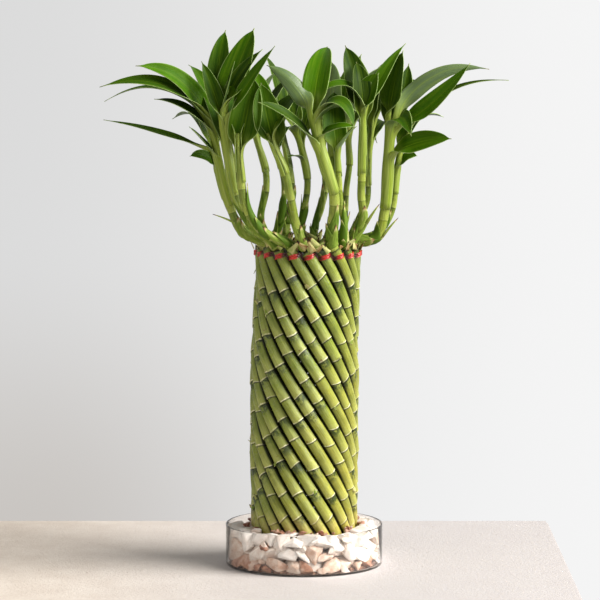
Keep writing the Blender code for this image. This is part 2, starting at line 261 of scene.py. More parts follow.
def cane_radius(height):
    slope = atan(TWIST * ring_radius(height))
    spacing = 2 * ring_radius(height) * sin(pi / CANE_COUNT) * cos(slope)
    return (spacing - GAP) / 2


# The gravel.
# Crushed quartz, in flat-sided chips from white through cream to peach, a few of them rusty.
# It is poured round the canes and holds them up. Small rusty crumbs lie at their feet.

BED_INSIDE = 40 * MM  # the canes' outer side
BED_CENTRE = 29.5 * MM  # the canes' inner side
BED_OUTSIDE = DISH_RADIUS - DISH_WALL - 0.25 * MM
BED_FLOOR = DISH_FLOOR + 0.3 * MM
RING_STONES = 170
BIG_SHARE = 0.42
BIG_STONE = (8, 10.5)  # millimetres from its middle to its corners
SMALL_STONE = (3.6, 6.8)
INNER_STONES = 46
INNER_TOP = 29 * MM
CRUMBS = 90
STONE_CORNERS = 15
FLAT = radians(14)  # facets that meet at less are one
NEARNESS = 0.78  # how close stones lie, as a share of where round ones would touch
SHAKES = 220
SINK = 0.08 * MM  # at each shake


def paint(red, green, blue):
    """A colour from a chart, 0 to 255, in the linear form that shaders take."""
    parts = [c / 255 for c in (red, green, blue)]
    return (*[c / 12.92 if c < 0.04 else ((c + 0.055) / 1.055) ** 2.4 for c in parts], 1.0)


def reckon(operation, *values, clamp=False):
    """The output of a Math node, in the tree that the values are in."""
    tree = next(value.id_data for value in values if isinstance(value, bpy.types.NodeSocket))
    made = add(tree, "Math", {"operation": operation, "use_clamp": clamp})
    for socket, value in zip(made.inputs, values):
        join(value, socket)
    return made.outputs[0]


def times(*values):
    """All the values, multiplied."""
    result = values[0]
    for value in values[1:]:
        result = reckon("MULTIPLY", result, value)
    return result


def layered(base, coats):
    """A colour under coats of others. A coat: where it lies, how strongly, and its colour."""
    for mask, strength, colour in coats:
        base = mixed(times(mask, strength), base, colour)
    return base


def fade(value, start, end, low=0.0, high=1.0):
    """A value that goes smoothly from low at start to high at end."""
    return add(
        value.id_data, "MapRange", {"interpolation_type": "SMOOTHSTEP"},
        Value=value, From_Min=start, From_Max=end, To_Min=low, To_Max=high,
    ).outputs[0]


def measure(tree, name):
    """A value that the mesh holds at its points."""
    return add(tree, "Attribute", {"attribute_name": name}).outputs["Fac"]


def surface(shader, colour, height, relief, rough=None):
    """Gives a shader its colour, its relief, which is a height from 0 to 1 and what that makes in
    metres, and a roughness that varies."""
    join(colour, shader.inputs["Base Color"])
    made = add(shader.id_data, "Bump", Height=height, Distance=relief)
    join(made.outputs[0], shader.inputs["Normal"])
    if rough:
        join(rough, shader.inputs["Roughness"])


def new_group(name, *takes):
    """A shader node group that takes these numbers and gives one."""
    group = bpy.data.node_groups.new(name, "ShaderNodeTree")
    for key in takes:
        group.interface.new_socket(name=key, in_out="INPUT", socket_type="NodeSocketFloat")
    group.interface.new_socket(name="Value", in_out="OUTPUT", socket_type="NodeSocketFloat")
    start = group.nodes.new("NodeGroupInput")
    end = group.nodes.new("NodeGroupOutput")
    return group, start.outputs, end.inputs["Value"]


# Cloudiness that any of the finishes can use: soft patches, at a size in metres.
patches, takes, gives = new_group("patches", "Size", "Roughen")
place = add(patches, "NewGeometry").outputs["Position"]
scale = reckon("DIVIDE", 1.0, takes["Size"])
cloud = add(
    patches, "TexNoise", Vector=place, Scale=scale, Detail=4.0, Roughness=takes["Roughen"]
).outputs["Fac"]
join(fade(cloud, 0.32, 0.68), gives)


def patchy(tree, size, roughen=0.55):
    """Where a finish's soft patches are."""
    made = add(tree, "Group", {"node_tree": patches}, Size=size, Roughen=roughen)
    return made.outputs["Value"]


quartz, tree, shader = new_finish("quartz", Roughness=0.5, IOR=1.54, Specular_IOR_Level=0.3)
tone = measure(tree, "tone")
cloudy = patchy(tree, 5 * MM)
speck = patchy(tree, 1.1 * MM, 0.7)
veined = reckon("MULTIPLY_ADD", reckon("SUBTRACT", cloudy, 0.5), 0.3, tone)
stone_colour = ramp(veined, [
    (0.0, paint(236, 228, 221)), (0.3, paint(223, 206, 193)), (0.55, paint(206, 174, 154)),
    (0.78, paint(174, 124, 98)), (1.0, paint(116, 60, 38)),
])
stone_colour = layered(stone_colour, [(speck, 0.1, paint(150, 120, 100))])
surface(
    shader, stone_colour, reckon("ADD", speck, cloudy), 0.25 * MM,
    rough=fade(speck, 0.2, 0.9, 0.3, 0.6),
)


def settle(dice, sizes, inner, outer, floor, top):
    """Places for stones, as pushed apart and let down until they lie close in a ring-shaped space.
    top(distance from the axis) is how high their surface may be."""
    count = len(sizes)
    turn = dice.uniform(0, tau, count)
    out = np.sqrt(dice.uniform(inner**2, outer**2, count))
    spots = np.stack([out * np.cos(turn), out * np.sin(turn), dice.uniform(floor, top(out))], 1)
    reach = NEARNESS * (sizes[:, None] + sizes[None])
    for _ in range(SHAKES):
        apart = spots[:, None] - spots[None]
        distance = np.linalg.norm(apart, axis=2) + np.eye(count)
        press = np.clip(reach - distance, 0, None) * (1 - np.eye(count))
        spots += 0.3 * (apart * (press / distance)[..., None]).sum(1)
        spots[:, 2] -= SINK
        out = np.hypot(spots[:, 0], spots[:, 1])
        kept = np.clip(out, inner + 0.75 * sizes, outer - 0.6 * sizes)
        spots[:, :2] *= (kept / out)[:, None]
        spots[:, 2] = np.clip(spots[:, 2], floor + 0.5 * sizes, top(out) - 0.55 * sizes)
    return spots


def chip(dice, centre, size, wall, top):
    """A stone broken out of a bigger one: the hull of a few corners, its edges worn. It lies flat
    against the dish's wall and floor, and under the bed's top, where it would reach through them."""
    cloud = dice.normal(size=(STONE_CORNERS, 3))
    cloud /= np.linalg.norm(cloud, axis=1)[:, None]
    cloud *= size * dice.uniform(0.95, 1.15, (STONE_CORNERS, 1))
    cloud *= (dice.uniform(1.15, 1.6), dice.uniform(0.8, 1.1), dice.uniform(0.55, 0.8))
    tilt = Euler((dice.normal(0, 0.45), dice.normal(0, 0.45), dice.uniform(0, tau)))
    cloud = cloud @ np.array(tilt.to_matrix())
    corners = centre + cloud
    out = np.hypot(corners[:, 0], corners[:, 1])
    corners[:, :2] *= np.minimum(1, wall / out)[:, None]
    corners[:, 2] = np.clip(corners[:, 2], BED_FLOOR, top)
    mesh = bmesh.new()
    hull = bmesh.ops.convex_hull(mesh, input=[mesh.verts.new(c) for c in corners])
    spare = [v for v in hull["geom_interior"] if isinstance(v, bmesh.types.BMVert)]
    bmesh.ops.delete(mesh, geom=spare, context="VERTS")
    bmesh.ops.dissolve_limit(mesh, angle_limit=FLAT, verts=mesh.verts, edges=mesh.edges)
    bmesh.ops.bevel(
        mesh, geom=mesh.edges, offset=0.1 * size, segments=3, profile=0.55, affect="EDGES",
        clamp_overlap=True,
    )
    bmesh.ops.recalc_face_normals(mesh, faces=mesh.faces)
    mesh.verts.index_update()
    shape = [v.co.copy() for v in mesh.verts], [[v.index for v in f.verts] for f in mesh.faces]
    mesh.free()
    return shape


def pour(name, dice, sizes, spots, tones, wall, tops):
    """One mesh of all these stones."""
    points, faces, tone = [], [], []
    for size, spot, shade, top in zip(sizes, spots, tones, tops):
        corners, sides = chip(dice, spot, size, wall, top)
        first = len(points)
        points += corners
        faces += [tuple(k + first for k in side) for side in sides]
        tone += [shade] * len(corners)
    piece = make_piece(name, points, faces, [quartz], {"tone": tone}, crease=30)
    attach(piece, "root")
    return piece


def heaped(out):
    """How high the gravel lies, at a distance from the axis: it rises towards the canes."""
    return (31 - 4 * np.clip((out - BED_INSIDE) / (BED_OUTSIDE - BED_INSIDE), 0, 1)) * MM


dice = np.random.default_rng(7)
sizes = MM * np.where(
    dice.uniform(size=RING_STONES) < BIG_SHARE,
    dice.uniform(*BIG_STONE, RING_STONES), dice.uniform(*SMALL_STONE, RING_STONES),
)
spots = settle(dice, sizes, BED_INSIDE, BED_OUTSIDE, BED_FLOOR, heaped)
# Stones lower down and towards the left get deeper, browner tones: painted shade, on top of each stone's
# own random tone.
depth = 1 - spots[:, 2] / (24 * MM)
shaded = np.clip(-spots[:, 0] / BED_OUTSIDE, 0, 1)
low_and_left_shade = (0.6 + 0.45 * shaded) * depth + 0.12 * shaded
tones = np.clip(dice.normal(-0.04, 0.15, RING_STONES) + low_and_left_shade, 0, 0.9)
tones[dice.uniform(size=RING_STONES) < 0.03] = 0.88  # the rusty ones
tops = heaped(np.hypot(spots[:, 0], spots[:, 1])) + dice.uniform(-0.5, 0.9, RING_STONES) * MM
ring_gravel = pour("gravel_round_canes", dice, sizes, spots, tones, BED_OUTSIDE, tops)
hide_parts("gravel_bed")

sizes = dice.uniform(3.6, 6.4, INNER_STONES) * MM
spots = settle(dice, sizes, 0, BED_CENTRE, 17 * MM, lambda out: np.full_like(out, INNER_TOP))
tones = np.clip(dice.normal(0.2, 0.16, INNER_STONES), 0, 0.75)
tops = [INNER_TOP + MM] * INNER_STONES
pour("gravel_inside_canes", dice, sizes, spots, tones, BED_CENTRE, tops)

# Crumbs at the canes' feet, either side of the ring that they stand in.
sizes = dice.uniform(1.3, 2.9, CRUMBS) * MM
turn = dice.uniform(0, tau, CRUMBS)
out = MM * np.where(
    dice.uniform(size=CRUMBS) < 0.8, dice.uniform(39.5, 44, CRUMBS), dice.uniform(27, 29.5, CRUMBS)
)
height = dice.uniform(28, 30.5, CRUMBS) * MM
spots = np.stack([out * np.cos(turn), out * np.sin(turn), height], 1)
tones = np.clip(dice.normal(0.72, 0.2, CRUMBS), 0.1, 1)
pour("gravel_crumbs", dice, sizes, spots, tones, BED_OUTSIDE, [33 * MM] * CRUMBS)

# What lies under the stones that show: packed grit, painted dark brown as the shade between them. Its
# outline is given from the axis outwards and up from the dish's floor, in millimetres.
GRIT_OUTLINE = [
    (0.5, 0), (55.3, 0), (55, 1.6), (49, 3.9), (47, 8.4), (45, 14.4), (41.5, 20.4), (39.4, 22.4),
    (29.6, 22.4), (24, 18.4), (0.5, 17.4),
]
grit_shade, tree, shader = new_finish("grit_shade", Roughness=0.9)
grain_tone = patchy(tree, 2.2 * MM, 0.7)
# Painted shade: the grit's dark browns stand for the shadow between the stones.
grit_shade_colour = ramp(grain_tone, [
    (0.0, paint(52, 30, 22)), (0.55, paint(104, 68, 50)), (1.0, paint(160, 124, 102)),
])
surface(shader, grit_shade_colour, grain_tone, 0.6 * MM)
points, faces = turned([(out * MM, BED_FLOOR + up * MM) for out, up in GRIT_OUTLINE], 72)
rugged = random.Random(4)
points = [Vector(p) * (1 - 0.02 * rugged.random()) for p in points]
packed_grit_shade = make_piece("packed_grit_shade", points, faces, [grit_shade], crease=60)
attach(packed_grit_shade, "root")

# The canes.
# Twenty cut lengths of green cane, leafless, wired into a twisted tower. Each is a pile of
# internodes: every one flares out at its foot over a pale ring scar, with a step under it that has a
# painted shadow line.

CANE_SIDES = 20
GRAVEL_AT_CANES = 29 * MM  # height of its top
GRAVEL_UNDER_CANES = 2 * MM
CANE_CUT = 2.7 * MM  # the middle of a cane's sloping foot, over its lowest edge
TIE_HEIGHT = 231 * MM
INTERNODE = 18 * MM
INTERNODE_SPREAD = 6 * MM
LAST_INTERNODE = 31 * MM
RING_SPACING = 2.6 * MM
CANE_FOOT = DISH_FLOOR + GRAVEL_UNDER_CANES + 2 * GAP + CANE_CUT
CANE_WAIST = 0.95  # just under a node, as a share of the full radius
CANE_LIP = 0.04  # how far a node stands out
MOST_INTERNODES = 40  # of any stalk
UNDER_NODE = 0.06 * MM
# Rings over a node: millimetres up from it, share of the full radius, share of its lip.
NODE_STEPS = [(0, 0.995, 0), (0.12, 1, 1), (0.4, 1, 1), (1.1, 1, 0)]


def node_heights(cane):
    """Where a cane's old leaf scars are."""
    dice = random.Random(cane)
    heights = [GRAVEL_AT_CANES + dice.uniform(2 * MM, INTERNODE)]
    while heights[-1] < TIE_HEIGHT - LAST_INTERNODE:
        heights.append(heights[-1] + INTERNODE + dice.uniform(-1, 1) * INTERNODE_SPREAD)
    return heights


def stalk_stations(start, nodes, end, waist, lip):
    """Rings along a jointed stalk: place, share of its full radius, how far over the node below and
    under the node above, and which internode."""
    marks = [start, *nodes, end]
    stations = [(start, 0.99, 5 * MM, marks[1] - start, 0)]
    for number, (low, high) in enumerate(zip(marks, marks[1:])):
        if number:
            under = low - marks[number - 1]
            stations.append((low - UNDER_NODE, waist, under, 0.0, number - 1))
            for over, share, out in NODE_STEPS:
                over *= MM
                stations.append((low + over, share + out * lip, over, high - low - over, number))
        first = low + (NODE_STEPS[-1][0] * MM if number else 0)
        spans = max(ceil((high - first) / RING_SPACING), 2)
        for k in range(1, spans + (high == end)):
            t = k / spans
            place = first + (high - first) * t
            share = waist + (1 - waist) * (1 - t) ** 1.6
            stations.append((place, share, place - low, high - place, number))
    return stations


def square_to(along, side):
    """The direction nearest to side that is square to along."""
    return (side - along * side.dot(along)).normalized()


def tube(centres, radii, sides, hint, start=None, closed=False, slants=None):
    """Rings of points bridged into a tube, with its grain. hint(point) is where each ring's first
    point faces. slants tip each ring: (how far, towards which angle)."""
    count = len(centres)
    points, faces, grain, lengths = [], [], [], [0.0]
    for i, centre in enumerate(centres):
        before = centres[i - 1] if i or closed else centre
        after = centres[(i + 1) % count] if i + 1 < count or closed else centre
        along = start if start and not i else (after - before).normalized()
        side = square_to(along, hint(centre))
        other = along.cross(side)
        tip, towards = slants[i] if slants else (0, 0)
        for k in range(sides):
            angle = tau * k / sides
            spoke = side * cos(angle) + other * sin(angle)
            lift = along * tip * cos(angle - towards)
            points.append(centre + spoke * radii[i] + lift)
        lengths.append(lengths[-1] + (after - centre).length)
    step = tau * max(radii) / sides
    for i in range(count if closed else count - 1):
        j = (i + 1) % count
        for k in range(sides):
            n = (k + 1) % sides
            faces.append((i * sides + k, i * sides + n, j * sides + n, j * sides + k))
            grain += [(k * step, lengths[i]), (k * step + step, lengths[i])]
            grain += [(k * step + step, lengths[i + 1]), (k * step, lengths[i + 1])]
    if not closed:
        last = (count - 1) * sides
        faces += [tuple(range(sides))[::-1], tuple(range(last, last + sides))]
        grain += [(0.4 * radii[0], 0.0)] * sides + [(0.4 * radii[-1], lengths[count])] * sides
    return points, faces, grain


# Fibres that run the way a plant grew: fine streaks, in the mesh's own grain.
fibres, takes, gives = new_group("fibres", "Width", "Length")
split = add(fibres, "SeparateXYZ", Vector=add(fibres, "UVMap", {"uv_map": "grain"}).outputs[0])
across = reckon("DIVIDE", split.outputs["X"], takes["Width"])
along = reckon("DIVIDE", split.outputs["Y"], takes["Length"])
place = add(fibres, "CombineXYZ", X=across, Y=along)
streak = add(fibres, "TexNoise", Vector=place.outputs[0], Scale=1.0, Detail=3.0, Roughness=0.6)
join(fade(streak.outputs["Fac"], 0.3, 0.7), gives)


def fibrous(tree, width, length):
    """Where a plant's streaks are, this wide and long in metres."""
    return add(tree, "Group", {"node_tree": fibres}, Width=width, Length=length).outputs["Value"]


# What darkens or lightens a stalk here and there: its own bruises and pale foot, and painted shade and
# shadow under its nodes and between the canes.
UNDER_NODE_SHADE = paint(28, 50, 4)
BRUISE = paint(112, 66, 24)
LIP_SHADOW = paint(26, 32, 4)
ROOTED = paint(206, 190, 108)
SHADE_BETWEEN_CANES = paint(10, 13, 3)


def stalk_finish(name, deep, fresh, bloom, ripe, scar, roughness, marked):
    """Living stalk: deep green under each node, partly its own colour and partly painted shade under the
    node's flare, fresh below, with a pale bloom at its foot and a scar round it. A painted shadow line
    lies right under each node's lip, and painted shade where canes press together. Ripe is the colour of
    its yellowest internodes, and on the shoots' stems it is also painted light on the right-hand ones;
    marked is how strongly its nodes show."""
    finish, tree, shader = new_finish(name, Roughness=roughness, IOR=1.45, Specular_IOR_Level=0.48)
    torn = times(reckon("SUBTRACT", noise(tree, 1.1 * MM, 2.0), 0.5), 1.1 * MM)
    over = reckon("ADD", measure(tree, "over"), torn)
    under = reckon("ADD", measure(tree, "under"), torn)
    tone = measure(tree, "tone")
    streaks = fibrous(tree, 0.45 * MM, 14 * MM)
    cloudy = patchy(tree, 9 * MM)
    blotchy = patchy(tree, 4 * MM, 0.65)
    # Partly the stalk's deep green, partly painted shade under each node's flare.
    shade = times(
        fade(under, 8 * MM, 0.5 * MM), fade(tone, 0.1, 0.9), fade(blotchy, 0.0, 0.7, 0.35, 1.0)
    )
    # Painted shade, deeper still, under some nodes.
    under_node_shade = times(
        fade(under, 8 * MM, 1.5 * MM), fade(tone, 0.4, 0.6), fade(blotchy, 0.25, 0.6)
    )
    bruise = fade(noise(tree, 5 * MM, 2.0), 0.66, 0.72)
    clean = fade(blotchy, 0.1, 0.9, 0.25 * marked, marked)
    sandy = fade(cloudy, 0, 1, 0.3, 0.7)
    skin = layered(fresh, [
        (measure(tree, "warm"), 0.85, ripe),
        (cloudy, 0.38, deep),
        (fibrous(tree, 1.6 * MM, 30 * MM), 0.3, deep),
        (shade, 0.3 + 0.5 * marked, deep),
        (fibrous(tree, 0.9 * MM, 22 * MM), 0.3, bloom),
        (fade(over, 12 * MM, 0.8 * MM), 0.4, bloom),
        (streaks, 0.3, deep),
        (under_node_shade, 0.85 * marked, UNDER_NODE_SHADE),
        (times(bruise, fade(over, 7 * MM, 1 * MM)), 0.8, BRUISE),
        (fade(over, 0.85 * MM, 0.4 * MM), clean, scar),
        # Painted shadow: a dark line right under each node's lip.
        (fade(under, 1.4 * MM, 0.2 * MM), 0.85 * marked, LIP_SHADOW),
        (fade(placed(tree, "Z"), 46 * MM, 30 * MM), sandy, ROOTED),
        # Painted shade where a cane faces the next one.
        (fade(measure(tree, "gap"), 0.0, 1.0), 0.96, SHADE_BETWEEN_CANES),
    ])
    surface(
        shader, skin, reckon("ADD", streaks, blotchy), 0.13 * MM,
        rough=fade(cloudy, 0, 1, roughness - 0.06, roughness + 0.1),
    )
    return finish


cane_skin = stalk_finish(
    "cane_skin", deep=paint(50, 74, 6), fresh=paint(140, 158, 42), bloom=paint(218, 222, 124),
    ripe=paint(218, 200, 74), scar=paint(246, 240, 200), roughness=0.27, marked=0.95,
)


def round_the_tower(point):
    return Vector((-point.y, point.x, 0))


def ringed(rings, sides, gap):
    """A stalk's measures at its points, from (over, under, tone, warm) at each of its rings."""
    measures = {"gap": gap}
    for key, values in zip(("over", "under", "tone", "warm"), zip(*rings)):
        measures[key] = np.repeat(values, sides)
    return measures


cane_turns = [tau * k / CANE_SIDES for k in range(CANE_SIDES)]
# Painted shade on the side that faces the next cane, where no light comes.
dark_side = [1 - smooth_step((-sin(turn) - 0.28) / 0.26) for turn in cane_turns]
for cane in range(1, CANE_COUNT + 1):
    nodes = node_heights(cane)
    stations = stalk_stations(CANE_FOOT, nodes, CANE_TOP, CANE_WAIST, CANE_LIP)
    dice = random.Random(100 + cane)
    every = range(MOST_INTERNODES)
    tones = [dice.random() for _ in every]
    tips = [(dice.uniform(0, 1.9) * MM, dice.uniform(0, tau)) for _ in every]
    girths = [dice.uniform(0.96, 1.05) for _ in every]
    kinks = [dice.uniform(-0.9, 0.45) * MM for _ in nodes]
    centres, radii, slants, rings = [], [], [], []
    for height, share, over, under, number in stations:
        centre = cane_point(cane, height)
        outward = Vector((centre.x, centre.y, 0)).normalized()
        centre += outward * float(np.interp(height, nodes, kinks))
        centres.append(centre)
        # The canes press closer at the back, so that no light comes through between them.
        pressed = 1 + 0.07 * smooth_step(centre.y / (14 * MM) + 0.4)
        radii.append(cane_radius(height) * share * girths[number] * pressed)
        tip, towards = tips[number if over < under else number + 1]
        slants.append((tip * smooth_step(1 - min(over, under) / (5 * MM)), towards))
        warm = 0.95 * (1 - height / CANE_TOP) + 0.35 * centre.x / RING_RADIUS
        warm += 0.4 * (tones[number + MOST_INTERNODES // 2] - 0.5) - 0.26
        rings.append((over, under, tones[number], min(max(warm, 0), 1)))
    points, faces, grain = tube(centres, radii, CANE_SIDES, round_the_tower, slants=slants)
    gap_shade = dark_side * (len(stations) - 1) + [0.0] * CANE_SIDES  # but the cut end gets no painted shade
    grain = np.array(grain) + (0, cane * 0.37)  # so that no two are streaked alike
    piece = make_piece(
        f"cut_cane_{cane:02d}", points, faces, [cane_skin], ringed(rings, CANE_SIDES, gap_shade), grain
    )
    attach(piece, "root")
    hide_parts(f"cane_{cane:02d}")

# The tie.
# Three turns of red plastic-coated wire, pulled tight just under the canes' cut ends. Each turn
# crosses a cane square to its slope, and drops into the gap before the next.

TIE_STRANDS = 3
STRAND_RADIUS = 0.55 * MM
STRAND_PITCH = 1.2 * MM
TIE_RISE = 1.5 * MM  # each side of a cane's middle
TIE_DIP = 3.9 * MM
TIE_POINTS = 16  # from one cane to the next
TIE_SIDES = 8
TIED_WAIST = 0.955  # a cane's radius under the tie, as a share of its full radius
ON_CANE = 0.42  # the share of the way to the next cane on which a turn climbs over a cane

UP = Vector((0, 0, 1))
at_tie = Vector((LEAN_AT_TOP, 0, TIE_HEIGHT))

wire_red, tree, shader = new_finish("wire_red", Roughness=0.34, IOR=1.5, Coat_Weight=0.2)
red = layered(paint(176, 22, 12), [
    (patchy(tree, 2.5 * MM), 1.0, paint(216, 58, 42)),
    # Painted shade where the wire dips between two canes.
    (measure(tree, "gap"), 0.92, paint(30, 8, 3)),
])
surface(shader, red, patchy(tree, 1.2 * MM), 0.08 * MM)

tied = [cane_point(cane, TIE_HEIGHT) - at_tie for cane in range(1, CANE_COUNT + 1)]
first_turn = atan2(tied[0].y, tied[0].x)
for strand in range(TIE_STRANDS):
    centres, gap_shade = [], []
    for k in range(CANE_COUNT * TIE_POINTS):
        cane, step = divmod(k, TIE_POINTS)
        across = step / TIE_POINTS
        nearby = tied[(cane + 1) % CANE_COUNT]
        out = tied[cane].length * (1 - across) + nearby.length * across
        seat = out + cane_radius(TIE_HEIGHT) * TIED_WAIST + STRAND_RADIUS
        dip = TIE_DIP * ((1 - cos(tau * across)) / 2) ** 1.3
        # how far into the gap between canes the wire dips, for its painted shade
        gap_shade += [smooth_step((dip - 0.5 * MM) / (1.6 * MM))] * TIE_SIDES
        if across < ON_CANE:
            rise = across / ON_CANE
        elif across > 1 - ON_CANE:
            rise = (across - 1) / ON_CANE
        else:
            rise = 1 - 2 * smooth_step((across - ON_CANE) / (1 - 2 * ON_CANE))
        loose = 0.18 * MM * sin(k * 0.9 + 2.1 * strand)
        height = TIE_HEIGHT + TIE_RISE * rise + STRAND_PITCH * (strand - 1) + loose
        angle = first_turn + tau * (cane + across) / CANE_COUNT
        out = seat - dip
        centres.append(Vector((LEAN_AT_TOP + out * cos(angle), out * sin(angle), height)))
    radii = [STRAND_RADIUS] * len(centres)
    points, faces, grain = tube(centres, radii, TIE_SIDES, lambda _: UP, closed=True)
    piece = make_piece(f"wire_turn_{strand + 1}", points, faces, [wire_red], {"gap": gap_shade}, grain)
    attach(piece, "root")
    if strand == 0:
        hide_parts("tie_wire")

# The shoots.
# Young side shoots that have grown out of the canes' cut ends since they were tied. Each turns
# upright as it grows, smooth and jointed like the canes, with a swollen foot.

STEM_SPANS = 4
SHOOT_ROOT = 5 * MM
SHOOT_FOOT = 1.18  # how thick its foot is, as a share of its radius
SLIM_STEM = 0.6  # how much of its girth it loses inside its crown
SLIM_SHEATH = 0.35  # the same, under the sheaths round it
STEM_WAIST = 0.965
STEM_LIP = 0.008
STEM_SIDES = 16
CURVE_STEPS = 300  # along which a stem is measured

# The cane that each grows from, its stem's radius, the points that it passes through, and its
# leaves, in millimetres. A leaf: its place along the rolled bases, its tip, how far it arches, its
# width, its roll in degrees.
SHOOTS = [
    (20, 3.1, [(-30, -41, 250), (-42, -44, 268), (-46, -46, 294), (-48, -46, 322)],
     [(0.45, (-36, -30, 363), 0, 24, 25), (0.9, (-56, 12, 350), 8, 15, 0)]),
    (19, 3.8, [(-36, -33, 252), (-47.5, -35, 272), (-52, -35, 291), (-60, -33, 338)],
     [(1, (-57, -12, 396), 2, 17, 0), (1, (-36, -24, 396), 3, 22, 52), (1, (-50, -42, 373), 0, 8, 50),
      (1, (-30, -34, 381), 4, 12, 55), (1, (-21, -52, 386), -3, 10, 75),
      (1, (-74, -30, 373), 3, 12, -65), (0.6, (-85, 18, 372), 10, 16, 0)]),
    (18, 3.2, [(-45, -25, 248), (-54, -26, 268), (-60, -25, 291), (-66, -24, 330)],
     [(0.7, (-121, -40, 373), 9, 17, -58), (1, (-147, -40, 355), 17, 14, -40),
      (0.9, (-145, -18, 346), 17, 11, -12), (0.75, (-108, -34, 347), 6, 13, -25),
      (0.45, (-83, -32, 326), 0, 9, -20)]),
    (17, 2.9, [(-42, -12, 247), (-54, -11, 264), (-61, -10, 286), (-66, -8, 308)],
     [(1, (-146, -12, 331), -1, 7, -30), (0.3, (-83, -20, 304), 4, 11, -50),
      (0.8, (-98, 38, 330), 14, 16, 0), (1, (-82, 26, 356), 8, 16, 0)]),
    (15, 2.5, [(-32, 10, 256), (-28, 12, 276), (-29, 15, 294), (-37, 17, 318)],
     [(1, (-60, 40, 360), 12, 18, 0), (0.7, (-68, 62, 330), 16, 17, 0),
      (1, (-20, 10, 366), 4, 18, 0)]),
    (14, 2.3, [(-18, 22, 252), (-14.5, 23, 276), (-18, 25, 296), (-26, 28, 318)],
     [(1, (-46, 62, 352), 12, 18, 0), (0.7, (-34, 88, 322), 18, 18, 0), (1, (-8, 34, 360), 6, 18, 0)]),
    (13, 2.5, [(-12, 32, 254), (-9, 36, 276), (-12, 41, 298), (-17, 46, 322)],
     [(1, (-29, 52, 376), 4, 18, 0), (0.6, (-67, 78, 314), 18, 17, 0)]),
    (12, 2.5, [(-1.5, 34, 252), (2.5, 36, 276), (1, 38, 294), (-5, 41, 316)],
     [(0.1, (-12, 28, 300), 2, 7, 0), (1, (-18, 22, 306), 12, 14, 0),
      (1, (-22, 104, 344), 14, 18, 0), (0.8, (14, 90, 352), 10, 18, 0)]),
    (11, 2.5, [(9, 38, 250), (15.5, 42, 272), (15, 46, 294), (11, 50, 318)],
     [(1, (24, 108, 340), 14, 19, 0), (0.6, (48, 92, 322), 16, 18, 0)]),
    (10, 2.5, [(22, 33, 254), (24.5, 34, 276), (21, 37, 298), (18, 41, 322)],
     [(1, (42, 76, 362), 8, 20, 0), (1, (20, 16, 374), 2, 18, 0), (0.6, (56, 97, 308), 16, 18, 0)]),
    (9, 2.3, [(30, 28, 252), (31.5, 29, 276), (33.8, 30, 296), (32, 32, 318)],
     [(1, (43, 57, 376), 6, 18, 0), (0.8, (80, 74, 342), 16, 18, 0), (1, (56, 22, 368), 4, 18, 0)]),
    (8, 2.2, [(40, 16, 253), (47, 15, 270), (47, 16, 296), (50, 18, 322)],
     [(1, (98, 52, 354), 14, 18, 0), (1, (66, 34, 374), 6, 17, 0), (0.5, (72, 60, 316), 14, 16, 0)]),
    (7, 2.4, [(55, 8, 246), (65, 9, 262), (68, 11, 288), (71, 13, 306)],
     [(0.2, (83, 4, 303), 2, 12, 40), (1, (150, 6, 358), 19, 6, 35), (0.9, (104, 40, 330), 12, 16, 0)]),
    (6, 3.7, [(53, -4, 243), (59, -5, 262), (61.5, -6, 292), (62, -6, 328)],
     [(0.3, (107, -20, 316), 5, 17, 62), (1, (72, -10, 380), 3, 19, 75), (1, (65, 10, 367), 0, 13, 0),
      (1, (77, 14, 370), 0, 14, 35), (1, (135, -4, 369), 14, 13, -112), (1, (120, -24, 372), -3, 15, 64),
      (0.9, (77, -42, 319), 14, 15, 30)]),
    (5, 3.0, [(42.5, -17, 256), (41.5, -19, 276), (42.5, -20, 302), (42.5, -20, 334)],
     [(1, (54, -20, 364), 3, 17, 65), (1, (74, -6, 385), 6, 10, 50), (1, (30, -2, 383), 0, 20, -25),
      (0.9, (7, -30, 350), 17, 16, -20), (1, (38, -8, 372), 8, 16, 0)]),
    (4, 2.5, [(29, -26, 254), (26, -27, 272), (25, -28, 288), (24, -28, 306)],
     [(1, (38, -36, 327), 1, 12, 20), (1, (22, -6, 352), 2, 18, 0)]),
    (3, 3.9, [(20.5, -35, 253), (21.5, -39, 276), (14, -42, 300), (5, -43, 336)],
     [(0.3, (-33, -58, 346), 3, 16, -30), (0.9, (-27, -34, 371), 5, 14, 120),
      (1, (17, 0, 383), 11, 20, 0), (1, (36, -56, 326), 15, 14, 20),
      (0.85, (37, -46, 338), 8, 13, 0), (0.7, (36, -46, 327), 3, 11, 25)]),
    (1, 3.0, [(-6, -38, 256), (-10, -41, 276), (-15, -43, 296), (-27, -44, 322)],
     [(0.5, (-31, -34, 357), 0, 23, -35), (0.8, (-36, -8, 368), 2, 18, 0),
      (0.9, (-2, -22, 352), 4, 17, 0)]),
]

stem_skin = stalk_finish(
    "stem_skin", deep=paint(30, 60, 2), fresh=paint(116, 144, 22), bloom=paint(210, 222, 104),
    ripe=paint(176, 188, 62), scar=paint(190, 200, 122), roughness=0.32, marked=0.3,
)


def spline_point(points, place):
    """A point on the smooth curve through the points (Catmull-Rom)."""
    i = min(int(place), len(points) - 2)
    t = place - i
    b, c = points[i], points[i + 1]
    a = points[i - 1] if i else b * 2 - c
    d = points[i + 2] if i + 2 < len(points) else c * 2 - b
    return (
        b * 2 + (c - a) * t + (a * 2 - b * 5 + c * 4 - d) * t**2 + (b * 3 - a - c * 3 + d) * t**3
    ) / 2


def shoot_curve(cane, through, places):
    """Points of a shoot's middle line, out of its cane's cut end and up through its points."""
    end, along = cane_point(cane, CANE_TOP), cane_direction(cane, CANE_TOP)
    path = [end + along * GAP, end + along * SHOOT_ROOT] + [Vector(p) * MM for p in through]
    return [spline_point(path, place) for place in places]


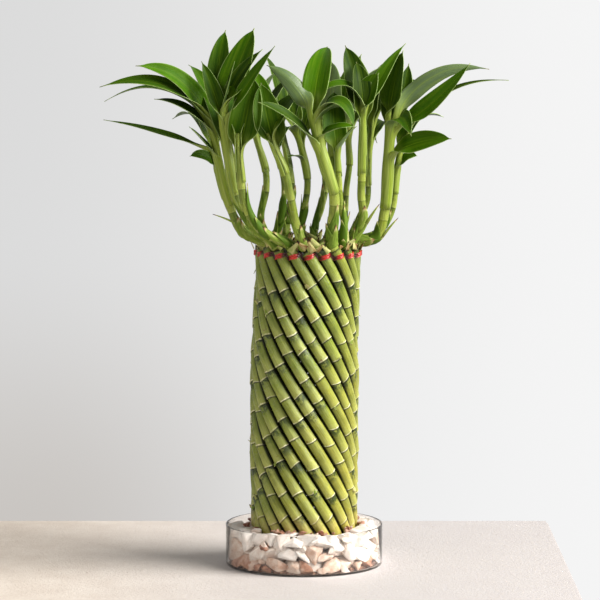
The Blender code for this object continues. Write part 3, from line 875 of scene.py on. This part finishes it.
def behind(_):
    return Vector((0.2, 1, 0))


def girth(radius, at, slimming):
    """A stem's radius at a place along it: swollen at its foot, and slimmer inside its crown."""
    foot = 1 + (SHOOT_FOOT - 1) * max(1 - at / 2, 0) + 0.12 * exp(-((at - 0.9) / 0.5) ** 2)
    return radius * foot * (1 - slimming * smooth_step((at - STEM_SPANS + 0.25) / 1.2))


for number, (cane, radius, through, leaves) in enumerate(SHOOTS, 1):
    dice = random.Random(200 + number)
    places = [(STEM_SPANS + 0.96) * k / CURVE_STEPS for k in range(CURVE_STEPS + 1)]
    line = shoot_curve(cane, through, places)
    lengths = [0.0]
    for before, after in zip(line, line[1:]):
        lengths.append(lengths[-1] + (after - before).length)
    bare = float(np.interp(STEM_SPANS, places, lengths))
    nodes = [dice.uniform(5, 8) * MM]
    while nodes[-1] < bare - 26 * MM:
        nodes.append(nodes[-1] + dice.uniform(11, 22) * MM)
    tones = [dice.random() for _ in range(MOST_INTERNODES)]
    depth = smooth_step((through[1][1] + 20) / 50)  # from the front of the plant to its back
    stations = stalk_stations(0.0, nodes, lengths[-1], STEM_WAIST, STEM_LIP)
    centres, radii, rings = [], [], []
    for length, share, over, under, joint in stations:
        at = float(np.interp(length, lengths, places))
        centres.append(shoot_curve(cane, through, [at])[0])
        heel = min(0.86 + length / (6 * MM), 1)
        radii.append(girth(radius * MM, at, SLIM_STEM) * heel * share)
        # Painted light and shade: stems further right get more of the ripe colour, and stems further
        # back less of it and more of the dark under their nodes, on top of each internode's own tone.
        ripe_and_lit = 0.5 * tones[joint + MOST_INTERNODES // 2] + max(through[2][0], 0) / 100
        rings.append((over, under, min(0.5 * tones[joint] + 0.7 * depth, 1), ripe_and_lit * (1 - depth)))
    start = cane_direction(cane, CANE_TOP)
    points, faces, grain = tube(centres, radii, STEM_SIDES, behind, start=start)
    measures = ringed(rings, STEM_SIDES, [0.0] * len(points))
    grain = np.array(grain) + (0, number * 0.41)  # so that no two are streaked alike
    piece = make_piece(f"stem_{number:02d}", points, faces, [stem_skin], measures, grain)
    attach(piece, "root")
    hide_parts(f"shoot_{number:02d}")

# The bracts.
# Short pointed sheaths that clasp each stem's foot, with dry brown tips that stand away from it,
# and the torn scraps of older ones, caught on top of the tie and at the canes' nodes.

BRACT_STEPS = 8
BRACTS = 4  # on each shoot
BRACT_THICKNESS = 0.22 * MM
BRACT_GRAIN = 0.5 * MM  # from one column of points to the next
SCRAPS = 160
FLAKE_STEPS = 5
FRONT = pi  # the side of a stem away from the one that its points start at

dry_sheath, tree, shader = new_finish("dry_sheath", Roughness=0.6, Specular_IOR_Level=0.2)
withered = fade(measure(tree, "along"), 0.72, 1.0, 0.0, 0.7)
along = reckon("ADD", withered, measure(tree, "tone"))
ragged = reckon("MULTIPLY_ADD", fibrous(tree, 0.5 * MM, 6 * MM), 0.25, along)
sheath_colour = ramp(ragged, [
    (0.05, paint(80, 110, 20)), (0.35, paint(134, 156, 58)), (0.6, paint(196, 192, 128)),
    (0.8, paint(150, 112, 66)), (1.0, paint(48, 30, 18)),
])
surface(shader, sheath_colour, ragged, 0.15 * MM)


def sheet_piece(name, sheets):
    """Thin sheets as one piece. A sheet is its rows of points, and a tone from fresh to dry."""
    points, faces, grain, measures = [], [], [], {"along": [], "tone": []}
    for rows, tone in sheets:
        first, wide = len(points), len(rows[0])
        length = (rows[-1][wide // 2] - rows[0][wide // 2]).length
        for k, row in enumerate(rows):
            points += row
            measures["along"] += [k / (len(rows) - 1)] * wide
            measures["tone"] += [tone] * wide
        for k in range(len(rows) - 1):
            for c in range(wide - 1):
                corner = first + k * wide + c
                faces.append((corner, corner + 1, corner + wide + 1, corner + wide))
                low, high = k * length / len(rows), (k + 1) * length / len(rows)
                left, right = c * BRACT_GRAIN, (c + 1) * BRACT_GRAIN
                grain += [(left, low), (right, low), (right, high), (left, high)]
    piece = make_piece(name, points, faces, [dry_sheath], measures, grain, crease=60)
    skin = piece.modifiers.new("thickness", "SOLIDIFY")
    skin.thickness = BRACT_THICKNESS
    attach(piece, "root")


def clasp(shoot, low, high, facing, spread, stand):
    """A pointed sheath round a shoot, between two places along it."""
    cane, radius, through, _ = shoot
    rows = []
    for k in range(BRACT_STEPS + 1):
        t = k / BRACT_STEPS
        at = low + (high - low) * t
        before, centre, after = shoot_curve(cane, through, [at - 0.02, at, at + 0.02])
        along = (after - before).normalized()
        side = square_to(along, behind(centre))
        other = along.cross(side)
        out = girth(radius * MM, at, SLIM_SHEATH) * 1.03 + 0.2 * MM + stand * t**2
        half = spread * (1 - t**1.3) ** 1.25 + 0.05
        turns = [facing + half * u / 3 for u in range(-3, 4)]
        rows.append([centre + (side * cos(a) + other * sin(a)) * out for a in turns])
    return rows


def flake(foot, heading, outward, length, width, curl):
    """A small pointed scrap that curls as it goes."""
    heading = heading.normalized()
    across = heading.cross(outward).normalized()
    rows = []
    for k in range(FLAKE_STEPS + 1):
        t = k / FLAKE_STEPS
        middle = foot + heading * length * t + outward * curl * t**2
        half = width / 2 * (1 - t) ** 0.7 + 0.1 * MM
        lifted = outward * 0.25 * half
        rows.append([middle + across * half * u + lifted * abs(u) for u in (-1, 0, 1)])
    return rows


def spoke(turn):
    """A level direction."""
    return Vector((cos(turn), sin(turn), 0))


for number, shoot in enumerate(SHOOTS, 1):
    dice = random.Random(400 + number)
    sheets = []
    low = dice.uniform(0.5, 0.8)
    for _ in range(BRACTS):
        high = low + dice.uniform(0.8, 1.5)
        facing = FRONT + dice.uniform(-1.7, 1.7)
        rows = clasp(shoot, low, high, facing, dice.uniform(1.6, 3.0), dice.uniform(0.2, 1.8) * MM)
        sheets.append((rows, dice.uniform(-0.2, 0.25)))
        low += dice.uniform(0.25, 0.6)
    sheet_piece(f"bracts_{number:02d}", sheets)

dice = random.Random(17)
scraps = []
for _ in range(SCRAPS):
    outward = spoke(dice.uniform(0, tau))
    round_it = Vector((-outward.y, outward.x, 0))
    foot = outward * dice.uniform(29, 40) * MM
    foot += Vector((LEAN_AT_TOP, 0, dice.uniform(234, 240) * MM))
    heading = UP + outward * dice.uniform(-0.5, 0.9) + round_it * dice.uniform(-1.3, 1.3)
    length, width = dice.uniform(4, 12) * MM, dice.uniform(2.2, 5.6) * MM
    rows = flake(foot, heading, outward, length, width, dice.uniform(-2, 3) * MM)
    scraps.append((rows, dice.uniform(0.25, 0.7)))
# Three long ones stand clear of the rest. Their feet, headings, lengths and widths, in millimetres:
forward = Vector((0, -0.6, 0.6))
for foot, heading, length, width in (
    ((-50, -40, 256), (-1, 0, 0.5), 18, 1.8), ((57, -7, 243), (0.75, 0, 1), 20, 2.4),
    ((45, -24, 254), (0.6, 0, 1), 19, 2.6),
):
    foot, heading = Vector(foot) * MM, Vector(heading)
    rows = flake(foot, heading, forward, length * MM, width * MM, -3 * MM)
    scraps.append((rows, 0.3))
sheet_piece("scraps_on_tie", scraps)

scraps = []
for cane in range(1, CANE_COUNT + 1):
    for height in node_heights(cane):
        if dice.random() > 0.2:
            continue
        centre, along = cane_point(cane, height), cane_direction(cane, height)
        outward = spoke(atan2(centre.y, centre.x) + dice.uniform(-0.9, 0.9))
        foot = centre + outward * cane_radius(height) * 0.98
        heading = along * dice.choice((-1, 1)) + outward * dice.uniform(0.1, 0.5)
        length, width = dice.uniform(1.5, 4.5) * MM, dice.uniform(1.5, 4.5) * MM
        rows = flake(foot, heading, outward, length, width, dice.uniform(0.2, 1.5) * MM)
        scraps.append((rows, dice.uniform(0.15, 0.5)))
sheet_piece("scraps_on_canes", scraps)

# The leaves.
# Thin glossy blades, folded a little along the midrib. Each grows from a sheath that is rolled
# round the stem and opens out as it leaves it; the edges are pale and the tips dry.

LEAF_THICKNESS = 0.35 * MM
SHEATH_WRAP = 2.2  # radians each way round the stem
BLADE_WRAP = 0.42
SHEATH_STATIONS = 9
BLADE_STATIONS = 34
LEAF_COLUMNS = 12
LEAF_SPACING = 0.04  # between one leaf's place along the stem and the next's
UNROLLED = 0.26  # the share of a blade on which it opens from its sheath
LEAST_HALF = 0.12 * MM  # of a leaf's width
PALE_STREAK_HIGHLIGHT = paint(204, 216, 116)
DARK_VEIN = paint(62, 92, 6)
PALE_EDGE = paint(176, 200, 120)
DRY_TIP = paint(110, 104, 70)


def leaf_finish(name, dark, bright, young, roughness, shine, youth):
    """One side of a leaf: parallel veins, a pale midrib and edge, and a dry tip. It is coloured like
    its stem at the foot, for a share of its length called youth."""
    finish, tree, shader = new_finish(name, Roughness=roughness, IOR=1.45, Specular_IOR_Level=shine)
    across = reckon("ABSOLUTE", measure(tree, "across"))
    along, tone = measure(tree, "along"), measure(tree, "tone")
    veins = fibrous(tree, 0.5 * MM, 40 * MM)
    broad = fibrous(tree, 2.2 * MM, 60 * MM)
    cloudy = patchy(tree, 16 * MM)
    rib = times(fade(across, 0.05, 0.015), fade(along, 0.9, 0.1))
    # The sheath's pale streaks are partly its own streaks and partly painted highlight.
    sheath = layered(young, [(broad, 0.6, PALE_STREAK_HIGHLIGHT), (veins, 0.55, DARK_VEIN)])
    green = layered(mixed(tone, dark, bright), [
        (cloudy, 0.3, dark),
        (broad, 0.22, young),
        (veins, 0.16, dark),
        (fade(along, youth, 0.04), 0.92, sheath),
        (rib, 0.5, young),
        (fade(across, 0.94, 0.99), 0.5, PALE_EDGE),
        (fade(along, 0.94, 1.0), 1.0, DRY_TIP),
    ])
    surface(
        shader, green, reckon("SUBTRACT", times(veins, 0.5), rib), 0.12 * MM,
        rough=fade(cloudy, 0, 1, roughness - 0.05, roughness + 0.08),
    )
    return finish


leaf_top = leaf_finish(
    "leaf_top", paint(12, 38, 0), paint(70, 120, 0), paint(128, 156, 34), 0.42, 0.07, 0.3
)
leaf_under = leaf_finish(
    "leaf_under", paint(66, 92, 52), paint(120, 138, 98), paint(148, 170, 34), 0.36, 0.4, 0.34
)
leaf_edge, tree, shader = new_finish("leaf_edge", Roughness=0.5)
edge_colour = mixed(fibrous(tree, 1 * MM, 8 * MM), paint(112, 144, 56), paint(170, 190, 116))
join(edge_colour, shader.inputs["Base Color"])


def leaf_frame(root, tip, bow, roll, share):
    """Midrib point and side direction, at a share of a leaf's length."""
    chord = tip - root
    heading = Vector((chord.x, chord.y, 0)).normalized()
    over = UP.cross(heading).cross(-chord.normalized())
    bend = (root + tip) / 2 + over * 2 * bow
    point = root * (1 - share) ** 2 + bend * 2 * share * (1 - share) + tip * share**2
    along = ((bend - root) * (1 - share) + (tip - bend) * share).normalized()
    side = Matrix.Rotation(roll * smooth_step(share / 0.4), 3, along) @ UP.cross(heading)
    return point, side


def blade_outline(share, fullness):
    """Half width of a leaf, as a share of its widest: lance-shaped, or fuller towards an oval."""
    body = min(share / 0.95, 1)
    full = max(sin(pi * (0.06 + 0.94 * body) ** 0.88), 0) ** (0.92 - 0.34 * fullness)
    return max(full, 0.05 * min((1 - share) / 0.05, 1))


def add_leaf(shoot, order, leaf, dice, points, faces, grain, measures):
    """Adds one leaf to these, from the foot of its sheath to its tip."""
    cane, radius, through, _ = shoot
    place, tip, bow, width, roll = leaf
    tip, bow, roll = Vector(tip) * MM, bow * MM, radians(roll)
    place = STEM_SPANS + max(min(place, 0.98) - LEAF_SPACING * order, 0.06)
    root = shoot_curve(cane, through, [place])[0]
    reach = 0.75 + 0.14 * order
    length_over = (tip - root).length
    sway = dice.uniform(-0.05, 0.05) * length_over
    droop = dice.uniform(0.0, 0.05) * length_over
    shares = [-1 + k / SHEATH_STATIONS for k in range(SHEATH_STATIONS)]
    shares += [(k / BLADE_STATIONS) ** 1.15 for k in range(BLADE_STATIONS + 1)]
    centres, sides = [], []
    heading = Vector((tip.x - root.x, tip.y - root.y, 0)).normalized()
    for share in shares:
        if share < 0:
            centres.append(shoot_curve(cane, through, [place + reach * share])[0])
            sides.append(UP.cross(heading))
        else:
            point, side = leaf_frame(root, tip, bow, roll, share)
            sag = UP * droop * max(share - 0.6, 0) ** 2 / 0.16
            centres.append(point + (side * sway * sin(pi * share) - sag))
            sides.append(side)
    for _ in range(10):
        for k in range(SHEATH_STATIONS - 6, SHEATH_STATIONS + 7):
            centres[k] = (centres[k - 1] + centres[k] * 2 + centres[k + 1]) / 4
    phase = dice.uniform(0, tau)
    fullness = min(max((width * MM / length_over - 0.1) / 0.2, 0), 1)
    first, coordinates, length = len(points), [], 0.0
    # Leaves further back get a deeper green: painted shade, on top of each leaf's own random tone.
    tone = dice.uniform(0.0, 0.85) * (1 - 0.7 * smooth_step((root.y + tip.y) / (90 * MM)))
    for k, share in enumerate(shares):
        before, after = centres[max(k - 1, 0)], centres[min(k + 1, len(shares) - 1)]
        along = (after - before).normalized()
        side = square_to(along, sides[k])
        face = along.cross(side)
        opened = smooth_step(share / UNROLLED)
        wrap = SHEATH_WRAP + (BLADE_WRAP - SHEATH_WRAP) * opened
        at = place + reach * min(share, 0)
        loose = (0.14 + 0.07 * order) * MM * smooth_step((share + 1) / 0.6)
        wrapped = girth(radius * MM, at, SLIM_SHEATH) + 0.08 * MM + loose
        spread = smooth_step(share / 0.2)
        blade = width * MM / 2 * blade_outline(max(share, 0), fullness)
        half = max(SHEATH_WRAP * wrapped * (1 - spread) + blade * spread, LEAST_HALF)
        middle = centres[k] - face * wrapped * (1 - smooth_step(share / 0.3))
        for c in range(LEAF_COLUMNS + 1):
            u = 2 * c / LEAF_COLUMNS - 1
            ripple = 0.05 * half * opened * sin(9 * share + phase + 1.3 * u) * abs(u)
            fold = 0.1 * half * abs(u) * opened
            lift = half * (1 - cos(wrap * u)) / wrap + fold + ripple
            points.append(middle + side * half * sin(wrap * u) / wrap + face * lift)
            coordinates.append((u * half, length))
            for key, value in zip(measures, (u, share, tone)):
                measures[key].append(value)
        length += (after - before).length / 2
    row = LEAF_COLUMNS + 1
    for k in range(len(shares) - 1):
        for c in range(LEAF_COLUMNS):
            low, high = k * row + c, (k + 1) * row + c
            corners = (high, high + 1, low + 1, low)
            faces.append(tuple(corner + first for corner in corners))
            grain += [coordinates[corner] for corner in corners]


for number, shoot in enumerate(SHOOTS, 1):
    dice = random.Random(300 + number)
    points, faces, grain = [], [], []
    measures = {"across": [], "along": [], "tone": []}
    for order, leaf in enumerate(shoot[-1]):
        add_leaf(shoot, order, leaf, dice, points, faces, grain, measures)
    piece = make_piece(
        f"blades_{number:02d}", points, faces, [leaf_top, leaf_under, leaf_edge], measures, grain
    )
    skin = piece.modifiers.new("thickness", "SOLIDIFY")
    skin.thickness = LEAF_THICKNESS
    skin.offset = -1
    skin.material_offset = 1
    skin.material_offset_rim = 2
    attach(piece, "root")
    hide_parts(f"leaves_{number:02d}")

# The studio.
# A pale stone table that ends behind the plant, in front of a plain light wall, with a big soft
# light high on the right and weak light from everywhere else.

TABLE_BACK = 180 * MM
TABLE_RIGHT = 195 * MM
TABLE_THICK = 30 * MM
TABLE_REACH = 1.6  # metres, forwards and to the left
TABLE_GAP = 0.05 * MM  # air under the dish

table_stone, tree, shader = new_finish("table_stone", Roughness=0.6)
grains = patchy(tree, 3 * MM, 0.7)
pitted = fade(noise(tree, 4 * MM, 3.0, 0.6), 0.66, 0.72)
stone = layered(paint(212, 199, 185), [
    (patchy(tree, 30 * MM, 0.65), 1.0, paint(223, 212, 199)),
    # Painted shade: the stone is deeper and cooler towards the right, where the big light falls hardest,
    # so that the light across the table comes out even.
    (fade(placed(tree, "X"), -0.25, 0.05), 0.75, paint(186, 184, 188)),
    (grains, 0.22, paint(198, 180, 160)),
    (pitted, 0.45, paint(150, 124, 98)),
])
surface(shader, stone, reckon("SUBTRACT", grains, pitted), 0.15 * MM)

slab = bmesh.new()
bmesh.ops.create_cube(slab, size=1)
low = Vector((-TABLE_REACH, -TABLE_REACH, -TABLE_THICK - TABLE_GAP))
high = Vector((TABLE_RIGHT, TABLE_BACK, -TABLE_GAP))
for vert in slab.verts:
    vert.co = Vector([low[i] if vert.co[i] < 0 else high[i] for i in range(3)])
bmesh.ops.bevel(slab, geom=slab.edges, offset=1.5 * MM, segments=3, affect="EDGES")
data = bpy.data.meshes.new("table")
slab.to_mesh(data)
slab.free()
data.materials.append(table_stone)
table = set_up("table", data)

world = bpy.data.worlds.new("studio")
bpy.context.scene.world = world
world.use_nodes = True
tree = world.node_tree
tree.nodes.clear()
towards = add(tree, "SeparateXYZ", Vector=add(tree, "TexCoord").outputs["Generated"])
# Painted shade on the wall: deeper towards the left, and deeper still low on the left, away from the big
# light on the right.
wall_colour = ramp(fade(towards.outputs["X"], -0.11, 0.11), [
    (0.0, paint(219, 219, 219)), (0.35, paint(230, 230, 230)), (1.0, paint(245, 245, 245)),
])
low_left = times(fade(towards.outputs["Z"], -0.08, -0.18), fade(towards.outputs["X"], 0.03, -0.09))
wall_colour = mixed(low_left, wall_colour, paint(201, 197, 193))
wall = add(tree, "Background", Color=wall_colour, Strength=1.0)
around = add(tree, "Background", Color=(1.0, 0.985, 0.97, 1.0), Strength=0.26)
rays = add(tree, "LightPath").outputs
through_glass = reckon("MINIMUM", rays["Transmission Depth"], 1.0)
through_glass = reckon("SUBTRACT", through_glass, rays["Is Diffuse Ray"], clamp=True)
glossy = times(rays["Is Glossy Ray"], 0.6)
seen = reckon("MAXIMUM", reckon("MAXIMUM", rays["Is Camera Ray"], glossy), through_glass)
join(either_shader(seen, around, wall), add(tree, "OutputWorld").inputs["Surface"])


def stand(obj, place, aim):
    """Stands a lamp or the camera at a place, turned to what it looks at."""
    obj.location = place
    obj.rotation_euler = (Vector(aim) - Vector(place)).to_track_quat("-Z", "Y").to_euler()


def softbox(name, place, aim, width, height, watts, colour):
    """A flat soft lamp, turned to what it lights."""
    lamp = bpy.data.lights.new(name, "AREA")
    lamp.shape = "RECTANGLE"
    lamp.size = width
    lamp.size_y = height
    lamp.energy = watts
    lamp.color = colour
    stand(set_up(name, lamp), place, aim)


softbox("window", (2.25, -0.62, 1.85), (0, 0, 0.16), 2.0, 2.0, 200, (1.0, 0.985, 0.965))
softbox("fill", (-1.5, -1.2, 0.7), (0, 0, 0.2), 1.2, 1.2, 5, (1.0, 0.99, 0.98))

lens = bpy.data.cameras.new("camera")
lens.lens = 186
lens.sensor_width = 36
lens.clip_start = 0.05
lens.clip_end = 60
camera = set_up("camera", lens)
stand(camera, (-0.003, -2.27, 0.430), (-0.003, 0, 0.196))
bpy.context.scene.camera = camera
bpy.context.scene.view_settings.view_transform = "Standard"
